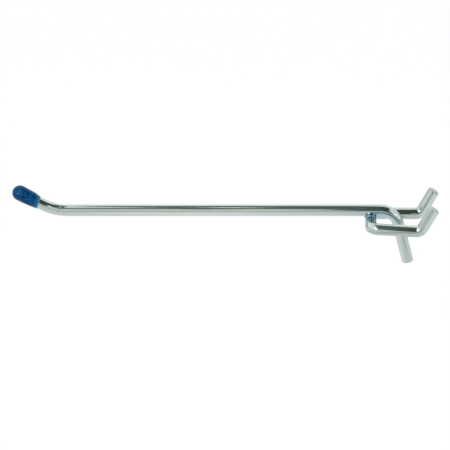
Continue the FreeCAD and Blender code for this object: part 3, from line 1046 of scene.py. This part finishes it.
# %% World
AMBIENT = (0.8, 0.8, 0.8, 1)
WHITE = (1, 1, 1, 1)
BLACK = (0, 0, 0, 1)
WALLS = (
    (-6, (0.70, 0.72, 0.70, 1)),
    (4, (0.73, 0.75, 0.73, 1)),
    (20, (1.0, 1.02, 1.0, 1)),
    (36, (1.12, 1.14, 1.13, 1)),
    (60, (0.95, 0.98, 0.98, 1)),
    (78, (1.2, 1.22, 1.22, 1)),
)
FRONT_WALL = (
    (-6, (0.70, 0.72, 0.70, 1)),
    (4, (0.71, 0.73, 0.70, 1)),
    (22, (0.89, 0.92, 0.88, 1)),
    (40, (0.76, 0.80, 0.76, 1)),
    (60, (0.90, 0.93, 0.93, 1)),
    (78, (1.2, 1.22, 1.22, 1)),
)
FRONT_WIDTH = (0.12, 0.45)
FRONT_DEPTH = (0.0, 0.35)
RIGHT_WALL = (0.55, 0.85)
RIGHT_SHADE = 0.16


def wall_colours(start, rise, table):
    """A wall's colour by height: a ramp over the sine of the angle above the horizon."""
    stops = [((math.sin(math.radians(angle)) + 1) / 2, colour) for angle, colour in table]
    return start.node("ShaderNodeValToRGB", {"stops": stops}, {"Fac": rise * 0.5 + 0.5}, "Color")


def studio_world():
    """White for the camera, walls by direction for metal, and even light for the rest."""
    world = bpy.data.worlds.new("studio")
    world.use_nodes = True
    start = Socket(world.node_tree)
    direction = start.node("ShaderNodeTexCoord", None, None, "Generated")
    sideways, depth, rise = (direction.part(axis) for axis in "XYZ")
    front = 1 - start.math("ABSOLUTE", sideways).between(*FRONT_WIDTH)
    front = front * (0 - depth).between(*FRONT_DEPTH)
    wall = front.blend(wall_colours(start, rise, WALLS), wall_colours(start, rise, FRONT_WALL))
    wall = (RIGHT_SHADE * sideways.between(*RIGHT_WALL)).blend(wall, BLACK)
    light = mirror_rays(start).blend(AMBIENT, wall)
    background = world.node_tree.nodes["Background"]
    feed(background, "Color", light_path(start, "Is Camera Ray").blend(light, WHITE))
    feed(background, "Strength", 1.0)
    return world


bpy.context.scene.world = studio_world()
print("walls change from", WALLS[0][0], "to", WALLS[-1][0], "degrees above the horizon")

# %% [markdown]
# ## Dark cloths
# Plated wire shows a dark band along its upper side, where it mirrors what hangs over it.
# A dark stripe in the finish would stay put when the hook turns, so the band comes from real cloths.
# Two lie over the arm as strips of an arch, with slots between them and dips in their front edge.
# Only metal sees them: they cast no shade, and the camera looks past.

# %% Dark cloths over the arm
CLOTH_GREY = (0.13, 0.165, 0.155, 1)
CLOTH_GREEN = (0.070, 0.088, 0.055, 1)
CLOTH_TURNS_GREEN = (-0.028, -0.010)
CLOTH_ROWS = 25
CLOTH_REACH = 0.5
CLOTH_ENDS = (-0.206, 0.28)
CLOTH_POINTS = 467
CLOTH_FRONT = 50.5
CLOTH_MIDDLE = 82.0
CLOTH_BACK = 118.0
FRONT_DIPS = ((20, -0.109, 0.011), (12, -0.042, 0.020))
BACK_CUTS = ((24, -0.170, -0.184), (17, -0.030, -0.006))
SLOT_HALF = 12.0
TIP_SLOT = (-0.136, -0.160)
ARM_SLOT_LEFT = (-0.114, -0.101)
ARM_SLOT_RIGHT = (-0.079, -0.089)
ARM_SLOT_SHARE = 0.9
ARM_SLOT_SHIFT = 6


def cloth_finish():
    """A dim glow, from grey to green by a smooth step along the arm."""
    material, _, start = new_finish("dark_cloth")
    along = object_place(start).part("X")
    colour = along.between(*CLOTH_TURNS_GREEN).blend(CLOTH_GREY, CLOTH_GREEN)
    glow = start.node("ShaderNodeEmission", None, {"Color": colour}, "Emission")
    feed(material.node_tree.nodes["Material Output"], "Surface", glow)
    return material


def cloth_strip(name, reach, low, high, x, material):
    """A strip of an arch about the arm: from one angle above the front horizon to another, at each x."""
    share = np.linspace(0, 1, CLOTH_ROWS)[None]
    angle = np.radians(low[:, None] + (high - low)[:, None] * share)
    spots = np.stack([x[:, None] + 0 * angle, -reach * np.cos(angle), reach * np.sin(angle)], axis=-1)
    number = np.arange(angle.size).reshape(angle.shape)
    quads = np.stack([number[:-1, :-1], number[1:, :-1], number[1:, 1:], number[:-1, 1:]], axis=-1)
    cloth = stage_piece(name, spots.reshape(-1, 3).tolist(), quads.reshape(-1, 4).tolist())
    cloth.data.materials.append(material)
    cloth.visible_camera = False
    cloth.visible_diffuse = False
    cloth.visible_shadow = False
    print(name, "from", round(low.min(), 1), "to", round(high.max(), 1), "degrees")


dark_cloth = cloth_finish()
cloth_x = np.linspace(*CLOTH_ENDS, CLOTH_POINTS)
dips = sum(deep * np.exp(-((cloth_x - middle) / width) ** 2) for deep, middle, width in FRONT_DIPS)
cuts = sum(deep * ramp(begin, end, cloth_x) for deep, begin, end in BACK_CUTS)
arm_slot = ramp(*ARM_SLOT_LEFT, cloth_x) * ramp(*ARM_SLOT_RIGHT, cloth_x)
slot = SLOT_HALF * np.clip(ramp(*TIP_SLOT, cloth_x) + ARM_SLOT_SHARE * arm_slot, 0, 1)
slot_middle = CLOTH_MIDDLE - ARM_SLOT_SHIFT * arm_slot
cloth_strip("front_cloth", CLOTH_REACH, CLOTH_FRONT - dips, slot_middle - slot, cloth_x, dark_cloth)
cloth_strip("back_cloth", CLOTH_REACH, slot_middle + slot, CLOTH_BACK - cuts, cloth_x, dark_cloth)

# %% [markdown]
# ## Dark card and sheet
# The bends and prongs at the board's end mirror more of the room than the straight arm does.
# A longer cloth would darken the arm as well. So a low card stands close in front of that end,
# and a sheet further off rises to the right, both made as the cloths are.

# %% Dark card and sheet by the board
CARD_REACH = 0.13
CARD_ENDS = (-0.062, 0.05)
CARD_POINTS = 57
CARD_DROP = 42
CARD_SLOPE = (-0.054, -0.020)
CARD_OVERLAP = 6
SHEET_REACH = 0.7
SHEET_ENDS = (-0.052, 0.30)
SHEET_POINTS = 75
SHEET_FOOT = 7.0
SHEET_HEIGHT = 5
SHEET_RISES_FROM = -0.020
SHEET_SLOPE = 250
SHEET_OVERLAP = 1

card_x = np.linspace(*CARD_ENDS, CARD_POINTS)
card_foot = CLOTH_FRONT - CARD_DROP * ramp(*CARD_SLOPE, card_x)
card_top = 0 * card_x + CLOTH_FRONT + CARD_OVERLAP
cloth_strip("low_card", CARD_REACH, card_foot, card_top, card_x, dark_cloth)
sheet_x = np.linspace(*SHEET_ENDS, SHEET_POINTS)
sheet_rise = SHEET_SLOPE * np.clip(sheet_x - SHEET_RISES_FROM, 0, None)
sheet_top = np.clip(SHEET_FOOT + SHEET_HEIGHT + sheet_rise, 0, CLOTH_FRONT + SHEET_OVERLAP)
cloth_strip("far_sheet", SHEET_REACH, 0 * sheet_x + SHEET_FOOT, sheet_top, sheet_x, dark_cloth)

# %% [markdown]
# ## Lamps
# Three soft oval lamps light the hook: a bright one in front to the left, a faint low one further left,
# and a broad one to the right. Small hard lamps would leave pin-sharp glints on every bend.
# A lamp is placed by the direction in which the wire should mirror it, and its power follows from how bright
# its image should be.

# %% Lamps
LAMP_DISTANCE = 1.2
LAMPS = (
    ("key_lamp", -29, 30, 0.34, 0.46, 5.5),
    ("left_lamp", -55, 10.5, 0.29, 0.15, 0.45),
    ("side_lamp", 60, 18, 0.70, 0.34, 1.8),
)


def oval_lamp(name, turn, rise, width, height, brightness):
    """A lamp that faces the origin, turned to the right and raised by degrees.

    Its power is its brightness times pi times its oval area.
    """
    lamp_data = bpy.data.lights.new(name, "AREA")
    lamp_data.shape = "ELLIPSE"
    lamp_data.size = width
    lamp_data.size_y = height
    lamp_data.energy = brightness * math.pi * math.pi * width * height / 4
    level = math.cos(math.radians(rise))
    side = math.sin(math.radians(turn)) * level
    front = math.cos(math.radians(turn)) * level
    towards = Vector((side, -front, math.sin(math.radians(rise))))
    lamp = add_object(name, lamp_data)
    lamp.location = towards * LAMP_DISTANCE
    lamp.rotation_euler = (-towards).to_track_quat("-Z", "Y").to_euler()
    print(name, round(lamp_data.energy, 2), "watts")


for lamp_values in LAMPS:
    oval_lamp(*lamp_values)

# %% [markdown]
# ## Camera
# The photograph looks at the hook almost square on from the side and a little from above, from far away.
# A constraint could aim the camera, but it keeps the horizon level and not the arm.
# The arm lies level in the picture, so the camera's right-hand axis is the arm's direction, made square
# to the view.

# %% Place the camera
VIEW_HEIGHT = math.radians(20.25)
VIEW_TURN = math.radians(0.9)
VIEW_MIDDLE = Vector((-0.0919, 0.0, -0.00137))
VIEW_WIDTH = 0.2194
VIEW_DISTANCE = 4.0
VIEW_END = 20.0
SENSOR_WIDTH = 36.0

camera_data = bpy.data.cameras.new("camera")
camera_data.sensor_width = SENSOR_WIDTH
camera_data.lens = SENSOR_WIDTH * VIEW_DISTANCE / VIEW_WIDTH
camera_data.clip_end = VIEW_END
camera = add_object("camera", camera_data)
level = math.cos(VIEW_HEIGHT)
back_off = Vector((math.sin(VIEW_TURN) * level, -math.cos(VIEW_TURN) * level, math.sin(VIEW_HEIGHT)))
right = (Vector((1, 0, 0)) - back_off * back_off.x).normalized()
turned = Matrix((right, back_off.cross(right), back_off)).transposed()
camera.matrix_world = Matrix.Translation(VIEW_MIDDLE + back_off * VIEW_DISTANCE) @ turned.to_4x4()
bpy.context.scene.camera = camera
bpy.context.scene.view_settings.view_transform = "Standard"
print("camera lens", round(camera_data.lens, 1), "mm")

# %% [markdown]
# ## Sizes
# The frame's box was printed when the frame was loaded; the dressed hook's box is not worked out.
